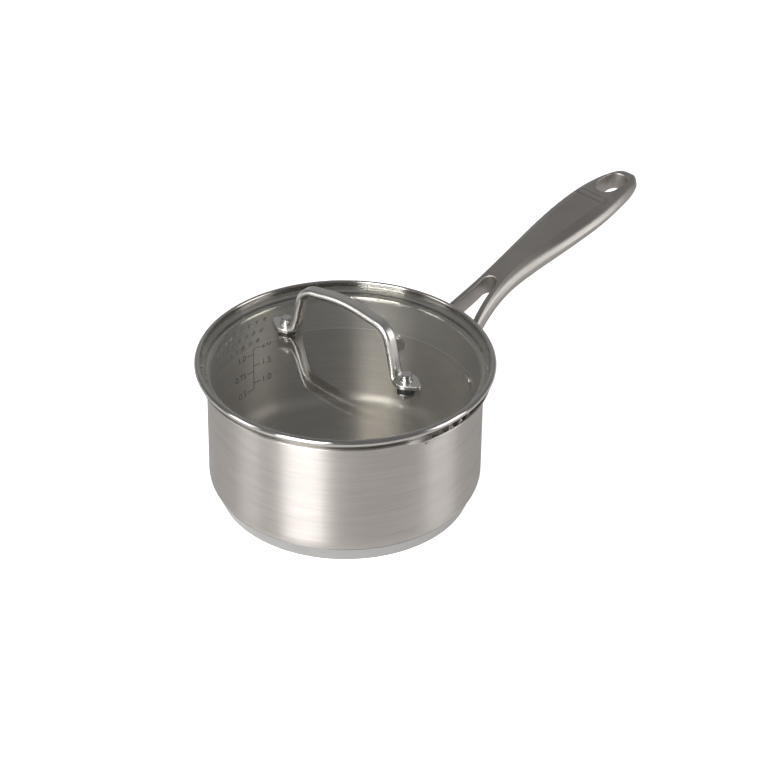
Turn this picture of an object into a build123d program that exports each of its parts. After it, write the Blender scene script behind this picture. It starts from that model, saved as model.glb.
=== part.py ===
from build123d import *
import os
from math import cos, degrees, radians, sin, sqrt, tan

# Saucepan with a straining glass lid, in millimetres.
# +Z is up, +X runs along the pan handle, and the origin is the centre of the resting face.

# ---- driving dimensions: pan ----
BORE_R = 80.0            # inside radius of the pan
WALL = 1.0               # thickness of the pan's sheet
RIM_Z = 84.0             # top of the level part of the rim
FLOOR_Z = 7.0            # underside of the pan's floor
CORNER_R = 9.5           # outside radius between floor and wall
RIM_REACH = 4.6          # how far the rim stands out from the wall
RIM_ROOT_R = 1.5         # radius inside the rim, where the wall turns outwards
RIM_EDGE_R = 0.4         # rounding of the rim's outer edge
RIM_UNDER_R = 0.6        # radius below the rim, where it leaves the wall
LIP_DROP = 2.2           # how far each pouring lip lies below the level rim
LIP_HALF_ANGLE = 27.0    # half of the arc that a pouring lip takes, in degrees
LIP_BEND_RUN = 4.5       # run of the bend between the level rim and a lip
LIP_BEND_R = 6.0         # radius of that bend
MOUTH_HALF_ANGLE = 22.0  # half of the arc over which a lip falls away towards the bore, in degrees
MOUTH_SLOPE = 50.0       # how steeply it falls there, in degrees
MOUTH_EDGE = 0.7         # width that stays level outside the slope
POUR_ANGLE = 101.0       # direction of the pouring lips from the pan handle, in degrees

# ---- driving dimensions: sandwich base ----
BASE_REST_R = 74.5       # radius of the resting face
BASE_BAND_Z = 10.0       # height of the base band
BASE_BAND_R = 78.7       # radius at the top of the base band
CAP_SHEET = 0.8          # thickness of the base's steel cap
CAP_EDGE_R = 0.7         # rounding of the cap's lower edge

# ---- driving dimensions: lid ----
SKIRT_CLEARANCE = 0.7    # radial gap between the lid's skirt and the pan's bore
SHEET = 0.8              # thickness of the lid's rim sheet
SKIRT_DEPTH = 22.4       # how far the skirt reaches below the rim
SKIRT_ROOT_R = 1.5       # radius between skirt and flange
SKIRT_EDGE_R = 0.3       # rounding of the skirt's lower edge
BEAD_REACH = 8.1         # how far the lid's bead stands outside the pan's bore
BEAD_H = 7.4             # height of the bead over the pan's rim
BEAD_BEVEL = 3.8         # run and rise of the slope under the bead, which leaves a gap over the pan's rim
BEAD_LOW_R = 1.2         # radius at both ends of that slope
BEAD_TOP_R = 2.4         # upper radius of the bead
BEAD_LIP_R = 0.9         # outside radius where the bead turns down onto the glass
GLASS_T = 4.0            # thickness of the glass
GLASS_RISE = 4.2         # rise of the glass from its edge to its middle
GLASS_FLAT = 4.3         # width of the flat edge that the rim clamps
GLASS_GAP = 1.9          # gap between the glass's edge and the inside of the bead
GLASS_BEVEL = 2.9        # run and rise of the bevel under the glass's edge
GLASS_EDGE_R = 0.5       # rounding of the glass's edge

# ---- driving dimensions: strainer holes ----
SMALL_HOLE_D = 2.9
SMALL_ROWS = (9, 8, 7)   # holes in each row, from the top
SMALL_PITCH = 6.17       # along the row
SMALL_ROW_PITCH = 6.4    # between rows
SMALL_TOP = 5.4          # first row's depth below the rim
LARGE_HOLE_D = 5.0
LARGE_ROWS = (7, 6)
LARGE_PITCH = 8.7
LARGE_ROW_PITCH = 7.4
LARGE_TOP = 6.7

# ---- driving dimensions: lid handle and its rivets ----
GRIP_ANGLE = 94.0        # direction of the lid handle from the pan handle, in degrees
LID_RIVET_REACH = 46.0   # rivet's distance from the middle
BAR_W = 8.0              # width of the handle's bar
BAR_T = 5.0              # thickness of the bar
BAR_EDGE = 0.12          # what the rounding of a section leaves flat at each side
LEG_REACH = 39.0         # leg's distance from the middle, at its foot
SHOULDER_REACH = 32.0    # the same at the upper corner
SHOULDER_RISE = 31.3     # height of the upper corner above the lugs
CREST_RISE = 37.0        # height above the lugs at which the bar's two straight parts would meet
CREST_R = 80.0           # radius of the bar's arch
SHOULDER_R = 12.0
FOOT_BEND_R = 3.6
BAR_STEPS = 14           # equal steps between the sections along the bar
FOOT_REACH = 43.2        # distance from the middle at which the bar runs out into the lug
LUG_T = 2.4
# Flattening of the bar towards its lug: distance from the bar's end, width and thickness.
FOOT_SECTIONS = (
    (0.0, 11.4, 2.20),
    (1.4, 11.0, 2.25),
    (2.8, 10.4, 2.45),
    (4.4, 9.7, 2.9),
    (6.2, 9.0, 3.6),
    (9.0, 8.4, 4.4),
    (13.0, 8.1, 4.9),
    (17.0, BAR_W, BAR_T),
)
LUG_R = 7.2              # radius of the lug round the rivet
LUG_TIP_REACH = 10.6     # tip's distance beyond the rivet
LUG_TIP_R = 2.4
LUG_EDGE_R = 0.6
RIVET_HEAD_R = 3.3
RIVET_HEAD_H = 4.3
RIVET_COLLAR_R = 4.1
RIVET_COLLAR_H = 0.9
RIVET_SHANK_R = 2.4
RIVET_EDGE = 0.5
SHANK_CLEARANCE = 0.1
GASKET_R = 5.9
GASKET_T = 1.1           # least thickness of the upper gasket, over the domed glass
SLEEVE_WALL = 1.3        # gasket's collar inside the glass's hole
SEAL_R = 5.2             # the same for the lower gasket
SEAL_T = 0.8
WASHER_R = 4.8
WASHER_T = 0.8
TAIL_R = 3.7             # formed end of the rivet below the washer
TAIL_H = 1.2

# ---- driving dimensions: pan handle ----
PLATE_T = 3.0            # thickness of the plate that hugs the wall
PLATE_H = 18.0           # height of the plate
PAN_RIVET_DROP = 2.3     # gap between the lid's skirt and the rivets' heads below it
PLATE_CORNER_R = 6.0     # rounding of the plate's corners
PAN_RIVET_ANGLE = 21.8   # each rivet's angle from the handle's middle, in degrees
PLATE_END = 9.0          # how far the plate runs past each rivet
PAN_RIVET_HEAD_R = 5.3
PAN_RIVET_HEAD_H = 1.8
PAN_RIVET_SHANK_R = 3.0
PAN_RIVET_TAIL_R = 4.6
PAN_RIVET_TAIL_H = 1.3
PAN_RIVET_EDGE_R = 0.8
# Sections of the handle: distance out from the wall, half width, the top face's half width,
# the top's height over the rivets, and depth.
HANDLE_SECTIONS = (
    (-1.5, 22.4, 20.6, 7.8, 16.2),
    (3.0, 20.6, 18.8, 11.5, 16.2),
    (10.0, 18.1, 16.2, 17.2, 14.4),
    (19.0, 15.0, 12.9, 23.5, 12.8),
    (31.0, 12.5, 9.6, 30.5, 12.4),
    (43.0, 11.1, 7.4, 36.3, 12.7),
    (51.0, 11.0, 6.6, 39.6, 12.9),
    (67.0, 12.1, 6.8, 44.5, 13.2),
    (83.0, 14.1, 7.6, 48.3, 13.2),
    (99.0, 16.2, 8.5, 51.8, 13.2),
    (115.0, 17.6, 9.2, 55.1, 13.2),
    (131.0, 17.9, 9.6, 58.1, 13.0),
    (147.0, 16.2, 9.2, 60.8, 12.3),
    (156.0, 14.3, 8.5, 61.8, 11.8),
    (163.0, 12.2, 7.4, 62.2, 11.4),
    (167.0, 10.4, 6.3, 62.1, 10.9),
    (170.0, 8.5, 5.1, 61.7, 10.6),
    (172.5, 6.3, 3.7, 60.9, 9.0),
    (174.1, 4.2, 2.4, 59.9, 7.0),
    (175.0, 2.2, 1.2, 59.0, 4.8),
)
# One side of a section: share of the way from the top face's edge to the widest line,
# height over the middle as a share of half the depth, and rounding as a share of the depth.
SIDE_POINTS = ((0.0, 1.0, 0.10), (0.64, 0.62, 0.34), (1.0, -0.04, 0.27), (0.46, -1.0, 0.22))
# Inside edge of the fork: distance out from the wall and half width of the gap.
FORK_EDGE = ((-2.5, 18.0), (10.0, 12.6), (20.0, 9.0), (31.0, 6.4), (41.6, 5.2))
FORK_EDGE_R = 0.8        # rounding of the gap's upper and lower edges
HANG_HOLE_OUT = 155.0    # hanging hole's middle, out from the wall
HANG_HOLE_TOP = 62.5     # height over the rivets at which its length and width hold
HANG_HOLE_DEPTH = 16.0
HANG_HOLE_L = 23.5
HANG_HOLE_W = 15.0
HANG_HOLE_TAPER = 3.0    # slope of its wall, narrowing downwards, in degrees
HANG_HOLE_EDGE_R = 0.8
PANEL_OUT = 136.4        # plain engraved outline's middle, out from the wall
PANEL_L = 23.0
PANEL_W = 5.0
PANEL_LINE = 0.5
PANEL_DEPTH = 0.35

# ---- sizes that follow from them ----
OUTER_R = BORE_R + WALL
RIM_R = OUTER_R + RIM_REACH
LIP_Z = RIM_Z - LIP_DROP
MOUTH_R = RIM_R - MOUTH_EDGE
SKIRT_R = BORE_R - SKIRT_CLEARANCE
SKIRT_Z = RIM_Z - SKIRT_DEPTH
BEAD_R = BORE_R + BEAD_REACH
BEAD_TOP_Z = RIM_Z + BEAD_H
GLASS_Z = RIM_Z + SHEET
GLASS_TOP_Z = GLASS_Z + GLASS_T
GLASS_R = BEAD_R - SHEET - GLASS_GAP
DOME_R = GLASS_R - GLASS_FLAT
SPHERE_R = (DOME_R ** 2 + GLASS_RISE ** 2) / (2 * GLASS_RISE)
PLATE_R = OUTER_R + PLATE_T
PLATE_Z = SKIRT_Z - PAN_RIVET_DROP - PAN_RIVET_HEAD_R
SLEEVE_R = RIVET_SHANK_R + SHANK_CLEARANCE + SLEEVE_WALL
CUT = 1.0                # how far a cutting tool runs past a face
ON_CIRCLE = 0.01         # how near to a circle or a direction counts as being on it
FAR = 4 * BORE_R         # larger than anything it cuts


def dome_height(reach):
    """Height of the glass's upper face at a distance from its middle."""
    return GLASS_TOP_Z + GLASS_RISE - SPHERE_R + sqrt(SPHERE_R ** 2 - reach ** 2)


LUG_Z = dome_height(LID_RIVET_REACH - GASKET_R) + GASKET_T


def turned(shape, angle):
    """The shape turned about the pan's axis."""
    return Rot(0, 0, angle) * shape


def cylinder_between(radius, low, high):
    """An upright cylinder on the pan's axis between two heights."""
    return Pos(0, 0, low) * Cylinder(radius, high - low, align=(Align.CENTER, Align.CENTER, Align.MIN))


def below_rim(drop):
    """Everything below a sheet that is level across the middle and steps down at both lips."""
    lip_end = RIM_R * cos(radians(LIP_HALF_ANGLE))
    lip_start = lip_end - LIP_BEND_RUN
    high = RIM_Z - drop
    low = LIP_Z - drop
    right = [(lip_start, high), (lip_end, low), (FAR, low)]
    left = [(-y, z) for y, z in reversed(right)]
    top = FilletPolyline(*left, *right, radius=LIP_BEND_R)
    sides = Polyline((FAR, low), (FAR, -FAR), (-FAR, -FAR), (-FAR, low))
    face = make_face(Plane.YZ * (top + sides))
    return turned(extrude(face, amount=FAR, both=True), POUR_ANGLE - 90)


def between(first, last, share):
    """The value at a share of the way from the first to the last."""
    return first + (last - first) * share


def pan_blank():
    """The pan's outside up to the rim as a full solid, which also shapes what lies against it."""
    blank = cylinder_between(OUTER_R, FLOOR_Z, RIM_Z)
    return fillet(blank.edges().sort_by(Axis.Z)[0], CORNER_R)


def mouth_part(inner_r, drop, height, half_angle):
    """Sector from a radius out to the mouth's edge, over the mouth's slope or a drop below it."""
    fall = tan(radians(MOUTH_SLOPE)) * (MOUTH_R - inner_r)
    low = [(inner_r, LIP_Z - drop - fall), (MOUTH_R, LIP_Z - drop)]
    high = [(r, LIP_Z + height) for r in (MOUTH_R, inner_r)]
    face = make_face(Plane.XZ * Polyline(*low, *high, close=True))
    return revolve(turned(face, -half_angle), Axis.Z, 2 * half_angle)


def pan_body():
    """Deep-drawn pan: floor, wall and a flared rim with two pouring lips."""
    inside = cylinder_between(BORE_R, FLOOR_Z + WALL, RIM_Z + CUT)
    inside = fillet(inside.edges().sort_by(Axis.Z)[0], CORNER_R - WALL)
    bore = cylinder_between(BORE_R, FLOOR_Z + CORNER_R, RIM_Z + CUT)
    flange = cylinder_between(RIM_R, RIM_Z - CORNER_R, RIM_Z) - bore
    body = (pan_blank() - inside) & below_rim(0)
    body += (flange & below_rim(0)) - below_rim(WALL)
    body = fillet(rim_edges(body, BORE_R), RIM_ROOT_R)
    body = fillet(rim_edges(body, RIM_R), RIM_EDGE_R)
    body = fillet(rim_edges(body, OUTER_R), RIM_UNDER_R)
    metal = mouth_part(BORE_R + WALL / 2, WALL / cos(radians(MOUTH_SLOPE)), -WALL / 2, MOUTH_HALF_ANGLE)
    room = mouth_part(BORE_R - CUT, 0, CUT, MOUTH_HALF_ANGLE - degrees(WALL / BORE_R))
    for angle in (POUR_ANGLE, POUR_ANGLE + 180):
        body += turned(metal, angle)
        body -= turned(room, angle)
    return body - pan_rivet_holes()


def on_circle(edge, radius):
    """Whether an edge runs along a cylinder of this radius about the pan's axis."""
    ends = [edge @ t for t in (0.0, 0.5, 1.0)]
    return all(abs(sqrt(p.X ** 2 + p.Y ** 2) - radius) < ON_CIRCLE for p in ends)


def rim_edges(body, radius):
    """The edges that run round the rim on a cylinder of this radius."""
    lowest = LIP_Z - 2 * WALL
    edges = body.edges().filter_by(lambda e: on_circle(e, radius) and e.center().Z > lowest)
    return edges.filter_by(lambda e: not upright(e))


def upright(edge):
    """Whether an edge runs straight up."""
    return (edge % 0).cross(Vector(0, 0, 1)).length < ON_CIRCLE


def base_blank(inset):
    """The sandwich base's outside, or the same moved inwards by a sheet's thickness."""
    slope = (BASE_BAND_R - BASE_REST_R) / BASE_BAND_Z
    low_r = BASE_REST_R + inset * (slope - 1)
    points = [(0, inset), (low_r, inset), (BASE_BAND_R - inset, BASE_BAND_Z), (0, BASE_BAND_Z)]
    face = make_face(Plane.XZ * Polyline(*points, close=True))
    return revolve(face, Axis.Z)


def base_cap(body_blank):
    """Steel cap that closes the base."""
    outside = base_blank(0)
    outside = fillet(outside.edges().sort_by(Axis.Z)[0], CAP_EDGE_R)
    return outside - base_blank(CAP_SHEET) - body_blank


def base_core(body_blank):
    """Aluminium disc that spreads the heat between the floor and the cap."""
    return base_blank(CAP_SHEET) - body_blank


def lid_rim():
    """Rim of the lid: a bead round the glass, a flange on the pan's rim and a straining skirt."""
    side_c = (BEAD_R - BEAD_LOW_R, RIM_Z + BEAD_LOW_R + BEAD_BEVEL)
    low_c = (side_c[0] - BEAD_BEVEL, RIM_Z + BEAD_LOW_R)
    top_c = (BEAD_R - BEAD_TOP_R, BEAD_TOP_Z - BEAD_TOP_R)
    root_c = (SKIRT_R + SKIRT_ROOT_R, RIM_Z - SKIRT_ROOT_R)
    lip_c = (top_c[0], BEAD_TOP_Z - BEAD_LIP_R)

    def strip(offset):
        """One face of the rim's sheet, from the skirt's edge to the end on the glass."""
        skirt = SKIRT_R - offset
        root = SKIRT_ROOT_R + offset
        low = BEAD_LOW_R - offset
        top = BEAD_TOP_R - offset
        lip = BEAD_LIP_R - offset
        path = Line((skirt, SKIRT_Z), (skirt, root_c[1]))
        path += CenterArc(root_c, root, 90, 90)
        path += Line((root_c[0], root_c[1] + root), (low_c[0], low_c[1] - low))
        slope = Vector(low, 0).rotate(Axis.Z, -45)
        path += CenterArc(low_c, low, -90, 45)
        path += Line(Vector(*low_c) + slope, Vector(*side_c) + slope)
        path += CenterArc(side_c, low, -45, 45)
        path += CenterArc(top_c, top, 0, 90)
        path += CenterArc(lip_c, lip, 90, 90)
        path += Line((lip_c[0] - lip, lip_c[1]), (lip_c[0] - lip, GLASS_TOP_Z))
        return path

    outer = strip(0)
    inner = strip(SHEET)
    ends = Line((SKIRT_R, SKIRT_Z), (SKIRT_R - SHEET, SKIRT_Z))
    lip_r = lip_c[0] - BEAD_LIP_R
    ends += Line((lip_r, GLASS_TOP_Z), (lip_r + SHEET, GLASS_TOP_Z))
    rim = revolve(make_face(Plane.XZ * (outer + inner + ends)), Axis.Z)
    rim = fillet(rim.edges().group_by(Axis.Z)[0], SKIRT_EDGE_R)
    rim -= strainer(SMALL_ROWS, SMALL_HOLE_D, SMALL_PITCH, SMALL_ROW_PITCH, SMALL_TOP, POUR_ANGLE)
    rim -= strainer(LARGE_ROWS, LARGE_HOLE_D, LARGE_PITCH, LARGE_ROW_PITCH, LARGE_TOP, POUR_ANGLE + 180)
    return rim


def strainer(rows, diameter, pitch, row_pitch, top, angle):
    """Drills for one field of holes: rows along the skirt, each shorter by one than the row above."""
    step = degrees(pitch / SKIRT_R)
    drills = []
    for row, count in enumerate(rows):
        for hole in range(count):
            turn = angle + (hole - (count - 1) / 2) * step
            height = RIM_Z - top - row * row_pitch
            drill = Pos(0, 0, SKIRT_R) * Cylinder(diameter / 2, 2 * CUT + SHEET)
            drills.append(turned(Pos(0, 0, height) * Rot(0, 90, 0) * drill, turn))
    return drills


def dome_turned(edge):
    """The glass's dome, turned from its two faces' outlines and what closes them at the edge."""
    apex_low = (0, GLASS_Z + GLASS_RISE)
    apex_top = (0, GLASS_TOP_Z + GLASS_RISE)
    outline = RadiusArc((DOME_R, GLASS_Z), apex_low, -SPHERE_R) + Line(apex_low, apex_top)
    outline += RadiusArc(apex_top, (DOME_R, GLASS_TOP_Z), SPHERE_R)
    return revolve(make_face(Plane.XZ * (outline + edge)), Axis.Z)


def glass_blank():
    """The domed part of the glass without its holes, to shape what lies against it."""
    return dome_turned(Line((DOME_R, GLASS_TOP_Z), (DOME_R, GLASS_Z)))


def lid_glass():
    """Gently domed glass with a flat edge and two holes for the handle's rivets."""
    corners = [(DOME_R, GLASS_TOP_Z), (GLASS_R, GLASS_TOP_Z), (GLASS_R, GLASS_Z + GLASS_BEVEL)]
    corners += [(GLASS_R - GLASS_BEVEL, GLASS_Z), (DOME_R, GLASS_Z)]
    glass = dome_turned(Polyline(*corners))
    rims = glass.edges().filter_by(lambda e: on_circle(e, GLASS_R) and e.length > GLASS_R)
    glass = fillet(rims, GLASS_EDGE_R)
    for side in (1, -1):
        glass -= at_lid_rivet(side, cylinder_between(SLEEVE_R, 0, FAR))
    return glass


def at_lid_rivet(side, shape):
    """The shape, made on the pan's axis, moved to one of the lid's two rivets."""
    return turned(Pos(side * LID_RIVET_REACH, 0, 0) * shape, GRIP_ANGLE)


def upper_gasket(side, blank):
    """Soft flanged bush between the lug and the glass, with a collar through the glass."""
    flange = at_lid_rivet(side, cylinder_between(GASKET_R, GLASS_TOP_Z, LUG_Z)) - blank
    collar = at_lid_rivet(side, cylinder_between(SLEEVE_R, GLASS_Z, LUG_Z)) & (blank + flange)
    hole = at_lid_rivet(side, cylinder_between(RIVET_SHANK_R + SHANK_CLEARANCE, 0, FAR))
    return flange.solids().sort_by(Axis.Z)[-1] + collar - hole


def washer_z():
    """Height of the washer's upper face below the glass."""
    return dome_height(LID_RIVET_REACH + SEAL_R) - GLASS_T - SEAL_T


def lower_gasket(side, blank):
    """Soft washer between the glass and the steel washer."""
    disc = cylinder_between(SEAL_R, washer_z(), GLASS_TOP_Z)
    disc -= cylinder_between(RIVET_SHANK_R + SHANK_CLEARANCE, 0, FAR)
    return (at_lid_rivet(side, disc) - blank).solids().sort_by(Axis.Z)[0]


def lid_washer(side):
    """Steel washer under the rivet's formed end."""
    disc = cylinder_between(WASHER_R, washer_z() - WASHER_T, washer_z())
    disc -= cylinder_between(RIVET_SHANK_R + SHANK_CLEARANCE, 0, FAR)
    return at_lid_rivet(side, disc)


def lid_rivet(side):
    """Rivet with a tall round head on the lug and a formed end under the washer."""
    lug_top = LUG_Z + LUG_T
    head = cylinder_between(RIVET_HEAD_R, lug_top, lug_top + RIVET_HEAD_H)
    head = chamfer(head.edges().sort_by(Axis.Z)[-1], RIVET_EDGE)
    collar = cylinder_between(RIVET_COLLAR_R, lug_top, lug_top + RIVET_COLLAR_H)
    collar = fillet(collar.edges().sort_by(Axis.Z)[-1], RIVET_EDGE)
    tail_top = washer_z() - WASHER_T
    shank = cylinder_between(RIVET_SHANK_R, tail_top, lug_top)
    tail = cylinder_between(TAIL_R, tail_top - TAIL_H, tail_top)
    tail = fillet(tail.edges().sort_by(Axis.Z)[0], RIVET_EDGE)
    return at_lid_rivet(side, head + collar + shank + tail)


def handle_path():
    """Middle line of the lid handle's bar, from one foot over the crest to the other."""
    middle = LUG_Z + LUG_T / 2
    right = [(FOOT_REACH, middle), (LEG_REACH, middle), (SHOULDER_REACH, LUG_Z + SHOULDER_RISE)]
    left = [(-x, z) for x, z in reversed(right)]
    bends = [FOOT_BEND_R, SHOULDER_R, CREST_R, SHOULDER_R, FOOT_BEND_R]
    line = FilletPolyline(*right, (0, LUG_Z + CREST_RISE), *left, radius=bends)
    return Plane.XZ * line


def bar_section(path, distance, width, thickness):
    """Rounded section of the bar at a distance along its middle line."""
    along = distance / path.length
    plane = Plane(origin=path @ along, x_dir=(0, 1, 0), z_dir=path % along)
    return plane * RectangleRounded(width, thickness, thickness / 2 - BAR_EDGE)


def lug():
    """Leaf-shaped lug round one rivet, at the right-hand foot."""
    round_part = Pos(LID_RIVET_REACH, 0) * Circle(LUG_R)
    tip = Pos(LID_RIVET_REACH + LUG_TIP_REACH - LUG_TIP_R, 0) * Circle(LUG_TIP_R)
    neck_w = FOOT_SECTIONS[0][1]
    neck = Pos(FOOT_REACH - FOOT_BEND_R / 2, 0) * Rectangle(FOOT_BEND_R / 2, neck_w)
    outline = make_hull(round_part.edges() + tip.edges() + neck.edges())
    plate = Pos(0, 0, LUG_Z) * extrude(outline, amount=LUG_T)
    plate = fillet(plate.edges().group_by(Axis.Z)[-1], LUG_EDGE_R)
    hole = Pos(LID_RIVET_REACH, 0, 0) * cylinder_between(RIVET_SHANK_R + SHANK_CLEARANCE, 0, FAR)
    return plate - hole


def lid_handle():
    """Bar bent into a loop, flattened at its feet into two lugs."""
    path = handle_path()
    flat_end = FOOT_SECTIONS[-1][0]
    step = (path.length - 2 * flat_end) / BAR_STEPS
    sizes = list(FOOT_SECTIONS)
    sizes += [(flat_end + i * step, BAR_W, BAR_T) for i in range(1, BAR_STEPS)]
    sizes += [(path.length - distance, width, thick) for distance, width, thick in reversed(FOOT_SECTIONS)]
    bar = loft([bar_section(path, *size) for size in sizes])
    handle = bar + lug() + mirror(lug(), Plane.YZ)
    return turned(handle, GRIP_ANGLE)


def radial(angle, shape):
    """The shape, made standing at the origin, laid along a radius at the rivets' height."""
    return turned(Pos(0, 0, PLATE_Z) * Rot(0, 90, 0) * shape, angle)


def pan_rivet_holes():
    """Drills for the two rivets of the pan handle."""
    drill = cylinder_between(PAN_RIVET_SHANK_R + SHANK_CLEARANCE, 0, FAR)
    return [radial(side * PAN_RIVET_ANGLE, drill) for side in (1, -1)]


def pan_rivet(side):
    """Rivet through the pan's wall and the handle's plate, with a low round head inside the pan."""
    head = cylinder_between(PAN_RIVET_HEAD_R, BORE_R - PAN_RIVET_HEAD_H, BORE_R)
    head = fillet(head.edges().sort_by(Axis.Z)[0], PAN_RIVET_EDGE_R)
    head = radial(0, head) & cylinder_between(BORE_R, 0, FAR)
    shank_start = sqrt(BORE_R ** 2 - PAN_RIVET_HEAD_R ** 2) - PAN_RIVET_EDGE_R / 2
    shank = radial(0, cylinder_between(PAN_RIVET_SHANK_R, shank_start, PLATE_R + PAN_RIVET_TAIL_H / 2))
    tail_start = sqrt(PLATE_R ** 2 - PAN_RIVET_TAIL_R ** 2)
    tail = cylinder_between(PAN_RIVET_TAIL_R, tail_start, PLATE_R + PAN_RIVET_TAIL_H)
    tail = fillet(tail.edges().sort_by(Axis.Z)[-1], PAN_RIVET_EDGE_R)
    tail = radial(0, tail) - cylinder_between(PLATE_R, 0, FAR)
    return turned(head + shank + tail, side * PAN_RIVET_ANGLE)


def mounting_plate():
    """Curved plate that hugs the pan's wall from rivet to rivet."""
    band = cylinder_between(PLATE_R, 0, FAR) - cylinder_between(OUTER_R, 0, FAR)
    half_angle = radians(PAN_RIVET_ANGLE) + PLATE_END / PLATE_R
    outline = RectangleRounded(2 * PLATE_R * sin(half_angle), PLATE_H, PLATE_CORNER_R)
    return band & extrude(Plane.YZ * Pos(0, PLATE_Z) * outline, amount=FAR)


def handle_section(out, half_width, top_half, top, depth):
    """Rounded section of the pan handle at a distance out from the wall."""
    right = [(between(top_half, half_width, run), depth / 2 * rise) for run, rise, _ in SIDE_POINTS]
    left = [(-y, z) for y, z in reversed(right)]
    radii = [depth * share for _, _, share in SIDE_POINTS]
    plane = Plane(origin=(OUTER_R + out, 0, PLATE_Z + top - depth / 2), x_dir=(0, 1, 0), z_dir=(1, 0, 0))
    return make_face(plane * FilletPolyline(*right, *left, radius=radii + radii[::-1], close=True))


def fork_gap():
    """What is cut away between the two legs of the fork."""
    near = [(OUTER_R + out, half) for out, half in FORK_EDGE]
    far = [(x, -y) for x, y in near]
    tip = (near[-1][0] + near[-1][1], 0)
    start = Vector(*near[1]) - Vector(*near[0])
    edges = Spline(*near, tangents=(start, (1, 0)))
    edges += ThreePointArc(near[-1], tip, far[-1])
    edges += Spline(*far, tangents=((start.X, -start.Y), (1, 0)))
    edges += Line(far[0], near[0])
    return extrude(make_face(edges), amount=FAR)


def softened(solid, tool, radius):
    """The solid with a tool cut away and the edges of the cut beyond the plate rounded."""
    cut = solid - tool
    edges = new_edges(solid, tool, combined=cut).filter_by(lambda e: e.center().X > PLATE_R)
    return fillet(edges, radius)


def hanging_hole():
    """What is cut away for the hanging hole, widest at the top."""
    top = Pos(OUTER_R + HANG_HOLE_OUT, 0, PLATE_Z + HANG_HOLE_TOP) * SlotOverall(HANG_HOLE_L, HANG_HOLE_W)
    above = extrude(top, amount=CUT)
    return extrude(top, amount=-HANG_HOLE_DEPTH, taper=HANG_HOLE_TAPER) + above


def panel_outline():
    """Plain outline that is engraved across the grip."""
    outline = SlotOverall(PANEL_L, PANEL_W)
    frame = outline - offset(outline, -PANEL_LINE)
    return Pos(OUTER_R + PANEL_OUT, 0, 0) * Rot(0, 0, 90) * extrude(frame, amount=FAR)


def pan_handle():
    """Cast handle: a fork on a riveted plate, a narrow neck, a wide grip and a hanging hole."""
    grip = loft([handle_section(*size) for size in HANDLE_SECTIONS])
    skin = grip - Pos(0, 0, -PANEL_DEPTH) * grip
    grip = softened(grip, fork_gap(), FORK_EDGE_R)
    grip = softened(grip, hanging_hole(), HANG_HOLE_EDGE_R)
    grip -= panel_outline() & skin
    handle = grip + mounting_plate() - cylinder_between(OUTER_R, 0, FAR)
    return handle - pan_rivet_holes()


def build():
    """Every piece by name."""
    blank = pan_blank()
    dome = glass_blank()
    pieces = {
        "pan_body": pan_body(),
        "base_cap": base_cap(blank),
        "base_core": base_core(blank),
        "pan_handle": pan_handle(),
        "lid_rim": lid_rim(),
        "lid_glass": lid_glass(),
        "lid_handle": lid_handle(),
    }
    for side, mark in ((1, "left"), (-1, "right")):
        pieces[f"handle_rivet_{mark}"] = pan_rivet(side)
        pieces[f"lid_rivet_{mark}"] = lid_rivet(side)
        pieces[f"lid_gasket_{mark}"] = upper_gasket(side, dome)
        pieces[f"lid_seal_{mark}"] = lower_gasket(side, dome)
        pieces[f"lid_washer_{mark}"] = lid_washer(side)
    return pieces


if __name__ == "__main__":
    os.makedirs("parts", exist_ok=True)
    for name, shape in build().items():
        export_step(shape, f"parts/{name}.step")
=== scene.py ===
import math

import bmesh
import bpy
from mathutils import Matrix, Vector


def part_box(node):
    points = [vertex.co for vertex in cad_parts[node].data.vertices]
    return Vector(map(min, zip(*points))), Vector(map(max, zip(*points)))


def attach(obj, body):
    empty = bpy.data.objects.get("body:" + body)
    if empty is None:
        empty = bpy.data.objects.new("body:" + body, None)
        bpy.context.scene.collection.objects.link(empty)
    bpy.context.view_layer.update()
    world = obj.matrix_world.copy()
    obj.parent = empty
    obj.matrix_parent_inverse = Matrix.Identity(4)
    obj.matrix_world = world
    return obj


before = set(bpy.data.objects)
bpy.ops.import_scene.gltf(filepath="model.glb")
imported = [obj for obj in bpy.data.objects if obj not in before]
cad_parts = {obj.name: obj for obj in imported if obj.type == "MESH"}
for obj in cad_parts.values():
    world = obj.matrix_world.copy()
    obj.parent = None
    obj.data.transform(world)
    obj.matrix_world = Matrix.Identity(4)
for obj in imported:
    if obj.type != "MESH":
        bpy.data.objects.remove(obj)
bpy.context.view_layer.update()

MM = 0.001

# ---- node helpers ----

NOISE_LOW = 0.3        # nearly all of a noise lies between these two values
NOISE_HIGH = 0.7
FINE_LOW = 0.25        # the same for fine noise with more detail
FINE_HIGH = 0.75
AXIS_GUARD = 1e-8      # keeps the radius above zero on the axis
QUARTER_TURN = 0.25    # turns the brushing from along the radius to round the axis
BROAD_SHARE = 0.12     # broad brushed lines lie this much less densely than fine ones
FINE_WEIGHT = 0.65     # share of the fine lines in the brushing


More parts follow.
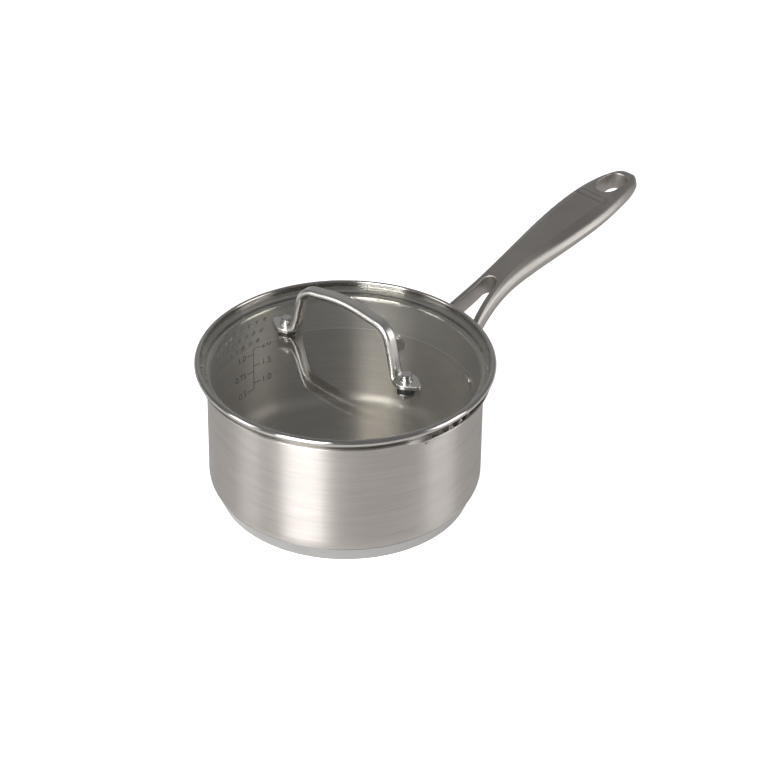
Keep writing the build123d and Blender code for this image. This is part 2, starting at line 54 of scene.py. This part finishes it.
class Nodes:
    """Builds one material's node tree with short calls."""

    def __init__(self, name):
        self.material = bpy.data.materials.new(name)
        self.material.use_nodes = True
        self.tree = self.material.node_tree
        self.tree.nodes.clear()
        self.out = self.add("ShaderNodeOutputMaterial")

    def add(self, kind, links=None, **settings):
        node = self.tree.nodes.new(kind)
        for key, value in settings.items():
            setattr(node, key, value)
        for key, value in (links or {}).items():
            self.put(node, key, value)
        return node

    def put(self, node, key, value):
        socket = node.inputs[key]
        if isinstance(value, bpy.types.NodeSocket):
            self.tree.links.new(value, socket)
        else:
            socket.default_value = value

    def math(self, operation, a, b=0.0):
        return self.add("ShaderNodeMath", {0: a, 1: b}, operation=operation).outputs[0]

    def fit(self, value, low, high, new_low, new_high):
        """A value moved from one range to another, and held within it."""
        links = {"Value": value, "From Min": low, "From Max": high, "To Min": new_low, "To Max": new_high}
        return self.add("ShaderNodeMapRange", links).outputs["Result"]

    def spread(self, noise, low, high):
        """A noise spread over a range."""
        return self.fit(noise, NOISE_LOW, NOISE_HIGH, low, high)

    def noise(self, vector, scale, detail=2.0, rough=0.5):
        links = {"Vector": vector, "Scale": scale, "Detail": detail, "Roughness": rough}
        return self.add("ShaderNodeTexNoise", links).outputs["Fac"]

    def mix_color(self, factor, a, b):
        node = self.add("ShaderNodeMix", data_type="RGBA")
        self.put(node, 0, factor)
        self.put(node, 6, a)
        self.put(node, 7, b)
        return node.outputs[2]

    def tinted(self, noise, tint, dark, light):
        """A tint that a noise takes from a darker to a lighter share of itself."""
        return self.mix_color(self.spread(noise, 0.0, 1.0), shade(tint, dark), shade(tint, light))

    def place(self):
        return self.add("ShaderNodeTexCoord").outputs["Object"]

    def scaled(self, vector, scale):
        return self.add("ShaderNodeMapping", {"Vector": vector, "Scale": scale}).outputs["Vector"]

    def round_place(self, around, up, out):
        """Coordinates that run round the Z axis: direction, then height and radius together."""
        x, y, z = self.add("ShaderNodeSeparateXYZ", {0: self.place()}).outputs
        square = self.math("ADD", self.math("MULTIPLY", x, x), self.math("MULTIPLY", y, y))
        radius = self.math("SQRT", self.math("ADD", square, AXIS_GUARD))
        across = self.math("MULTIPLY", self.math("DIVIDE", x, radius), around)
        along = self.math("MULTIPLY", self.math("DIVIDE", y, radius), around)
        level = self.math("ADD", self.math("MULTIPLY", z, up), self.math("MULTIPLY", radius, out))
        return self.add("ShaderNodeCombineXYZ", {0: across, 1: along, 2: level}).outputs[0]

    def bump(self, height, strength, distance):
        links = {"Height": height, "Strength": strength, "Distance": distance}
        return self.add("ShaderNodeBump", links).outputs["Normal"]

    def brushing(self, anisotropy):
        """Links that stretch highlights across lines brushed in rings round the Z axis."""
        return {
            "Anisotropic": anisotropy,
            "Anisotropic Rotation": QUARTER_TURN,
            "Tangent": self.add("ShaderNodeTangent", direction_type="RADIAL", axis="Z").outputs[0],
        }

    def principled(self, links):
        return self.add("ShaderNodeBsdfPrincipled", links).outputs[0]

    def finish(self, shader):
        self.tree.links.new(shader, self.out.inputs["Surface"])
        return self.material


def color(r, g, b):
    return (r, g, b, 1.0)


def shade(tint, share):
    """A tint made darker or lighter by a share of itself."""
    return color(*[min(1.0, part * share) for part in tint])


# ---- materials ----


def brushed_round(name, tint, rough, anisotropy, line_density, contrast, bump):
    """Steel brushed in rings round the Z axis, with fine and broad lines and faint clouds."""
    n = Nodes(name)
    broad_density = line_density * BROAD_SHARE
    fine_place = n.round_place(around=3.0, up=line_density, out=line_density)
    broad_place = n.round_place(around=1.2, up=broad_density, out=broad_density)
    fine = n.noise(fine_place, scale=1.0, detail=5.0, rough=0.65)
    broad = n.noise(broad_place, scale=1.0, detail=3.0, rough=0.6)
    cloud = n.noise(n.place(), scale=22.0, detail=3.0, rough=0.5)
    lines = n.math("ADD", n.math("MULTIPLY", fine, FINE_WEIGHT), n.math("MULTIPLY", broad, 1 - FINE_WEIGHT))
    line_gloss = n.fit(fine, FINE_LOW, FINE_HIGH, rough - 0.05, rough + 0.05)
    links = {
        "Base Color": n.tinted(lines, tint, 1 - contrast, 1 + contrast),
        "Metallic": 1.0,
        "Roughness": n.math("ADD", line_gloss, n.spread(cloud, -0.02, 0.02)),
        "Normal": n.bump(lines, bump, 0.2 * MM),
    }
    links.update(n.brushing(anisotropy))
    return n.finish(n.principled(links))


def satin_cast(name, tint, rough):
    """Bead-blasted cast steel, with a fine grain and softly worn patches."""
    n = Nodes(name)
    grain = n.noise(n.place(), scale=2600.0, detail=3.0, rough=0.6)
    drag = n.noise(n.scaled(n.place(), (160.0, 2400.0, 2400.0)), scale=1.0, detail=4.0, rough=0.6)
    worn = n.noise(n.place(), scale=38.0, detail=4.0, rough=0.6)
    mixed = n.math("ADD", n.math("MULTIPLY", grain, 0.5), n.math("MULTIPLY", drag, 0.5))
    patches = n.fit(worn, 0.35, 0.65, 0.0, 1.0)
    worn_gloss = n.spread(worn, rough - 0.04, rough + 0.04)
    links = {
        "Base Color": n.mix_color(patches, shade(tint, 0.93), shade(tint, 1.06)),
        "Metallic": 1.0,
        "Roughness": n.math("ADD", worn_gloss, n.spread(mixed, -0.03, 0.03)),
        "Normal": n.bump(mixed, 0.12, 0.2 * MM),
    }
    return n.finish(n.principled(links))


def polished(name, tint, rough, line_density=(900.0, 900.0, 900.0)):
    """Polished steel, with faint smears and polishing lines."""
    n = Nodes(name)
    smear = n.noise(n.place(), scale=60.0, detail=4.0, rough=0.6)
    lines = n.noise(n.scaled(n.place(), line_density), scale=1.0, detail=4.0, rough=0.6)
    smear_gloss = n.spread(smear, rough - 0.02, rough + 0.03)
    links = {
        "Base Color": n.tinted(smear, tint, 0.96, 1.03),
        "Metallic": 1.0,
        "Roughness": n.math("ADD", smear_gloss, n.spread(lines, -0.015, 0.015)),
        "Normal": n.bump(lines, 0.02, 0.05 * MM),
    }
    return n.finish(n.principled(links))


def lid_rim_steel(name, tint, bead_rough, skirt_rough, skirt_top, skirt_foot):
    """Steel of the lid's rim: a polished bead, a skirt brushed in rings, and a painted highlight along its
    lower edge.
    """
    n = Nodes(name)
    lines = n.noise(n.round_place(around=3.0, up=1100.0, out=700.0), scale=1.0, detail=4.0, rough=0.6)
    smear = n.noise(n.place(), scale=60.0, detail=4.0, rough=0.6)
    height = n.add("ShaderNodeSeparateXYZ", {0: n.place()}).outputs[2]
    bead = n.fit(height, skirt_top - 0.6 * MM, skirt_top + 0.6 * MM, 0.0, 1.0)
    # painted highlight: near the skirt's foot the colour turns near-white, standing in for the glint of a
    # rolled lower edge
    painted_edge_highlight = n.fit(height, skirt_foot + 0.3 * MM, skirt_foot + 0.6 * MM, 1.0, 0.0)
    level = n.fit(bead, 0.0, 1.0, skirt_rough, bead_rough)
    wear = n.math("ADD", n.spread(smear, -0.02, 0.03), n.spread(lines, -0.02, 0.02))
    links = {
        # the near-white colour mixed in here is the painted highlight along the skirt's lower edge
        "Base Color": n.mix_color(painted_edge_highlight, n.tinted(lines, tint, 0.90, 1.06), color(0.95, 0.95, 0.94)),
        "Metallic": 1.0,
        "Roughness": n.math("ADD", level, wear),
        "Normal": n.bump(lines, 0.1, 0.1 * MM),
    }
    links.update(n.brushing(0.8))
    return n.finish(n.principled(links))


def clear_glass(name, tint, index):
    """Clear glass: what lies behind shows through, and both faces mirror by angle."""
    n = Nodes(name)
    back = n.add("ShaderNodeNewGeometry").outputs["Backfacing"]
    mirror = n.add("ShaderNodeFresnel", {"IOR": n.fit(back, 0.0, 1.0, index, 1 / index)}).outputs[0]
    smear = n.noise(n.place(), scale=45.0, detail=4.0, rough=0.6)
    through = n.add("ShaderNodeBsdfTransparent", {"Color": color(*tint)}).outputs[0]
    reflection = {"Color": color(0.95, 0.94, 0.92), "Roughness": n.spread(smear, 0.0, 0.004)}
    gloss = n.add("ShaderNodeBsdfAnisotropic", reflection, distribution="GGX").outputs[0]
    return n.finish(n.add("ShaderNodeMixShader", {0: mirror, 1: through, 2: gloss}).outputs[0])


def soft_rubber(name, tint):
    """Dark silicone with a fine moulded grain."""
    n = Nodes(name)
    grain = n.noise(n.place(), scale=900.0, detail=3.0, rough=0.6)
    links = {
        "Base Color": n.tinted(grain, tint, 0.9, 1.1),
        "Roughness": n.spread(grain, 0.4, 0.55),
        "Normal": n.bump(grain, 0.2, 0.1 * MM),
        "Specular IOR Level": 0.4,
    }
    return n.finish(n.principled(links))


def etched(name, tint):
    """Dull dark marks etched into the steel."""
    n = Nodes(name)
    grain = n.noise(n.place(), scale=3000.0, detail=3.0, rough=0.6)
    links = {
        "Base Color": n.tinted(grain, tint, 0.8, 1.3),
        "Metallic": 0.6,
        "Roughness": n.spread(grain, 0.5, 0.65),
    }
    return n.finish(n.principled(links))


def floor_white(name):
    """Pale floor: what the camera sees of it is white, and what the steel mirrors of it is greyer."""
    n = Nodes(name)
    grain = n.noise(n.place(), scale=30.0, detail=2.0, rough=0.5)
    seen = {
        "Base Color": n.mix_color(grain, color(0.86, 0.86, 0.86), color(0.88, 0.88, 0.88)),
        "Roughness": 0.9,
        "Specular IOR Level": 0.1,
        "Emission Color": color(1.0, 1.0, 1.0),
        "Emission Strength": 0.9,
    }
    mirrored = {
        "Base Color": n.mix_color(grain, color(0.48, 0.475, 0.47), color(0.52, 0.515, 0.51)),
        "Roughness": 0.9,
        "Specular IOR Level": 0.1,
        "Emission Color": color(1.0, 0.985, 0.97),
        "Emission Strength": 0.34,
    }
    straight = n.add("ShaderNodeLightPath").outputs["Is Camera Ray"]
    shaders = {0: straight, 1: n.principled(mirrored), 2: n.principled(seen)}
    return n.finish(n.add("ShaderNodeMixShader", shaders).outputs[0])


# ---- the CAD pieces' materials ----

body_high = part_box("pan_body")[1]
POLISH_DROP = 0.8 * MM   # the lid's polish starts this far below the pan's rim
SKIRT_TOP = body_high.z - POLISH_DROP
SKIRT_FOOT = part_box("lid_rim")[0].z

rivet_steel = polished("rivet_steel", tint=(0.58, 0.56, 0.54), rough=0.16)
washer_steel = polished("washer_steel", tint=(0.62, 0.61, 0.59), rough=0.22)
rubber = soft_rubber("gasket_rubber", tint=(0.045, 0.045, 0.042))
LOOKS = {
    "pan_body": brushed_round(
        "pan_steel", tint=(0.532, 0.502, 0.475), rough=0.38,
        anisotropy=0.93, line_density=1400.0, contrast=0.15, bump=0.18,
    ),
    "base_cap": brushed_round(
        "base_steel", tint=(0.52, 0.515, 0.51), rough=0.32,
        anisotropy=0.6, line_density=700.0, contrast=0.03, bump=0.06,
    ),
    "base_core": brushed_round(
        "core_aluminium", tint=(0.78, 0.78, 0.79), rough=0.40,
        anisotropy=0.3, line_density=500.0, contrast=0.03, bump=0.05,
    ),
    "pan_handle": satin_cast("handle_steel", tint=(0.42, 0.395, 0.37), rough=0.43),
    "lid_rim": lid_rim_steel(
        "rim_steel", tint=(0.54, 0.522, 0.50), bead_rough=0.17,
        skirt_rough=0.42, skirt_top=SKIRT_TOP, skirt_foot=SKIRT_FOOT,
    ),
    "lid_glass": clear_glass("lid_glass", tint=(0.965, 0.962, 0.94), index=1.75),
    "lid_handle": polished(
        "lid_handle_steel", tint=(0.62, 0.60, 0.575), rough=0.28, line_density=(1400.0, 1400.0, 260.0),
    ),
}
for side in ("left", "right"):
    LOOKS["handle_rivet_" + side] = rivet_steel
    LOOKS["lid_rivet_" + side] = rivet_steel
    LOOKS["lid_gasket_" + side] = rubber
    LOOKS["lid_seal_" + side] = rubber
    LOOKS["lid_washer_" + side] = washer_steel
for node, look in LOOKS.items():
    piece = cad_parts[node]
    piece.data.materials.clear()
    piece.data.materials.append(look)

# ---- litre marks inside the pan ----

WALL = 1.0 * MM          # thickness of the pan's sheet
RIM_REACH = 4.6 * MM     # how far the pan's rim stands out past its wall
BORE_R = body_high.x - RIM_REACH - WALL
MARK_T = 0.18 * MM       # how far the marks stand off the wall
MARK_SINK = 0.02 * MM    # how deep their backs lie in it
LINE_W = 0.45 * MM
DIGIT_SIZE = 6.0 * MM
SCALE_ANGLE = 89.2       # where the upright line stands, in degrees round the axis
TICK_END = 3.9           # degrees from the line to a tick's far end
DIGITS_START = 4.5       # degrees from the line to the digits
PATCH_STEP = 1.0         # degrees between a patch's sections
SAME_POINT = 0.0001 * MM  # points closer than this are one
TICKS = (                # side of the line, label, height in mm
    (1, "0.5", 30.7), (1, "0.75", 43.7), (1, "1.0", 56.1),
    (-1, "1.0", 35.1), (-1, "1.5", 47.45), (-1, "2.0", 59.8),
)


def on_wall(angle, height, depth):
    """Point on the pan's bore at an angle in degrees, a height, and a depth in from the wall."""
    turn = math.radians(angle)
    reach = BORE_R - depth
    return Vector((reach * math.cos(turn), reach * math.sin(turn), height))


def mark_patch(mesh, angle_from, angle_to, low, high):
    """A thin raised patch on the bore between two angles and two heights."""
    steps = max(1, round(abs(angle_to - angle_from) / PATCH_STEP))
    corners = [(low, -MARK_SINK), (low, MARK_T), (high, MARK_T), (high, -MARK_SINK)]
    rings = []
    for i in range(steps + 1):
        angle = angle_from + (angle_to - angle_from) * i / steps
        rings.append([mesh.verts.new(on_wall(angle, z, d)) for z, d in corners])
    for one, two in zip(rings, rings[1:]):
        for i in range(4):
            j = (i + 1) % 4
            mesh.faces.new((one[i], one[j], two[j], two[i]))
    mesh.faces.new(rings[0][::-1])
    mesh.faces.new(rings[-1])


def mark_text(mesh, text, angle, height, anchor):
    """Digits bent onto the bore; they read from inside the pan, so they run towards smaller angles."""
    curve = bpy.data.curves.new("digits", "FONT")
    curve.body = text
    curve.size = DIGIT_SIZE
    curve.align_x = anchor
    curve.align_y = "CENTER"
    curve.extrude = (MARK_T + MARK_SINK) / 2
    shape = bpy.data.objects.new("digits", curve)
    bpy.context.scene.collection.objects.link(shape)
    bpy.context.view_layer.update()
    solid = bpy.data.meshes.new_from_object(shape.evaluated_get(bpy.context.evaluated_depsgraph_get()))
    bpy.data.objects.remove(shape)
    start = len(mesh.verts)
    mesh.from_mesh(solid)
    mesh.verts.ensure_lookup_table()
    for vert in mesh.verts[start:]:
        u, v, w = vert.co
        vert.co = on_wall(angle - math.degrees(u / BORE_R), height + v, w + (MARK_T - MARK_SINK) / 2)
    bpy.data.meshes.remove(solid)


def scene_object(name, mesh):
    """An object made from a bmesh, linked to the scene."""
    data = bpy.data.meshes.new(name)
    mesh.to_mesh(data)
    mesh.free()
    made = bpy.data.objects.new(name, data)
    bpy.context.scene.collection.objects.link(made)
    return made


def litre_scale():
    """The upright line, its ticks and their numbers."""
    marks = bmesh.new()
    line_half = math.degrees(LINE_W / 2 / BORE_R)
    heights = [height for side, label, height in TICKS]
    low = min(heights) * MM
    high = max(heights) * MM
    mark_patch(marks, SCALE_ANGLE - line_half, SCALE_ANGLE + line_half, low, high)
    for side, label, height in TICKS:
        near = SCALE_ANGLE + side * line_half
        far = SCALE_ANGLE + side * TICK_END
        level = height * MM
        mark_patch(marks, min(near, far), max(near, far), level - LINE_W / 2, level + LINE_W / 2)
        mark_text(marks, label, SCALE_ANGLE + side * DIGITS_START, level, "LEFT" if side < 0 else "RIGHT")
    bmesh.ops.remove_doubles(marks, verts=marks.verts, dist=SAME_POINT)
    bmesh.ops.recalc_face_normals(marks, faces=marks.faces)
    return scene_object("litre_marks", marks)


litre_marks = litre_scale()
litre_marks.data.materials.append(etched("etched_marks", (0.06, 0.057, 0.054)))
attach(litre_marks, "pan")

# ---- floor ----

FLOOR_HALF = 6.0
floor_mesh = bmesh.new()
bmesh.ops.create_grid(floor_mesh, x_segments=2, y_segments=2, size=FLOOR_HALF)
floor = scene_object("floor", floor_mesh)
floor.data.materials.append(floor_white("floor_white"))

# ---- light ----

VIEW_AZIMUTH = 44.0      # direction the camera looks in, in degrees round the axis
LIT_POINT = Vector((0, 0, 0.05))


def round_the_view(turn, reach, height):
    """A point at an angle from the viewing direction: 0 is behind the object, 180 is the camera's side."""
    angle = math.radians(VIEW_AZIMUTH + turn)
    return Vector((reach * math.cos(angle), reach * math.sin(angle), height))


def softbox(name, location, width, height, power):
    """A soft rectangular lamp at a place, aimed at the object."""
    lamp = bpy.data.lights.new(name, "AREA")
    lamp.shape = "RECTANGLE"
    lamp.size = width
    lamp.size_y = height
    lamp.energy = power
    rig = bpy.data.objects.new(name, lamp)
    rig.location = location
    rig.rotation_euler = (LIT_POINT - location).to_track_quat("-Z", "Y").to_euler()
    bpy.context.scene.collection.objects.link(rig)


def studio_world():
    """White surroundings that glow more behind and above the object."""
    world = bpy.data.worlds.new("studio")
    bpy.context.scene.world = world
    world.use_nodes = True
    sky = world.node_tree
    facing = sky.nodes.new("ShaderNodeVectorMath")
    facing.operation = "DOT_PRODUCT"
    sky.links.new(sky.nodes.new("ShaderNodeTexCoord").outputs["Generated"], facing.inputs[0])
    facing.inputs[1].default_value = round_the_view(turn=0, reach=1.0, height=0.6).normalized()
    glow = sky.nodes.new("ShaderNodeMapRange")
    sky.links.new(facing.outputs["Value"], glow.inputs["Value"])
    for socket, value in (("From Min", 0.6), ("From Max", 1.0), ("To Min", 0.2), ("To Max", 0.36)):
        glow.inputs[socket].default_value = value
    sky.links.new(glow.outputs["Result"], sky.nodes["Background"].inputs["Strength"])
    sky.nodes["Background"].inputs["Color"].default_value = color(1.0, 1.0, 1.0)


softbox("strip_left", round_the_view(turn=150, reach=1.25, height=0.62), width=0.76, height=1.15, power=23.5)
softbox("side_right", round_the_view(turn=259, reach=1.4, height=0.5), width=0.7, height=0.9, power=6.0)
softbox("side_left", round_the_view(turn=104, reach=1.4, height=0.5), width=0.5, height=0.9, power=4.0)
studio_world()

# ---- camera ----

ELEVATION = math.radians(33.347)
ROLL = math.radians(0.7797)
CAMERA_PLACE = Vector((-0.96956, -0.96782, 0.97423))
SENSOR_WIDTH = 36.0
FOCAL_LENGTH = 131.17
FAR_LIMIT = 50.0


def scene_camera():
    """The camera, looking down along the view's azimuth with a slight roll."""
    turn = math.radians(VIEW_AZIMUTH)
    flat = math.cos(ELEVATION)
    forward = Vector((flat * math.cos(turn), flat * math.sin(turn), -math.sin(ELEVATION)))
    level = Vector((math.sin(turn), -math.cos(turn), 0))
    steep = level.cross(forward)
    right = level * math.cos(ROLL) + steep * math.sin(ROLL)
    up = steep * math.cos(ROLL) - level * math.sin(ROLL)
    lens = bpy.data.cameras.new("camera")
    lens.sensor_width = SENSOR_WIDTH
    lens.lens = FOCAL_LENGTH
    lens.clip_end = FAR_LIMIT
    camera = bpy.data.objects.new("camera", lens)
    pose = Matrix((right, up, -forward)).transposed().to_4x4()
    pose.translation = CAMERA_PLACE
    camera.matrix_world = pose
    bpy.context.scene.collection.objects.link(camera)
    return camera


bpy.context.scene.camera = scene_camera()
bpy.context.scene.view_settings.view_transform = "Standard"
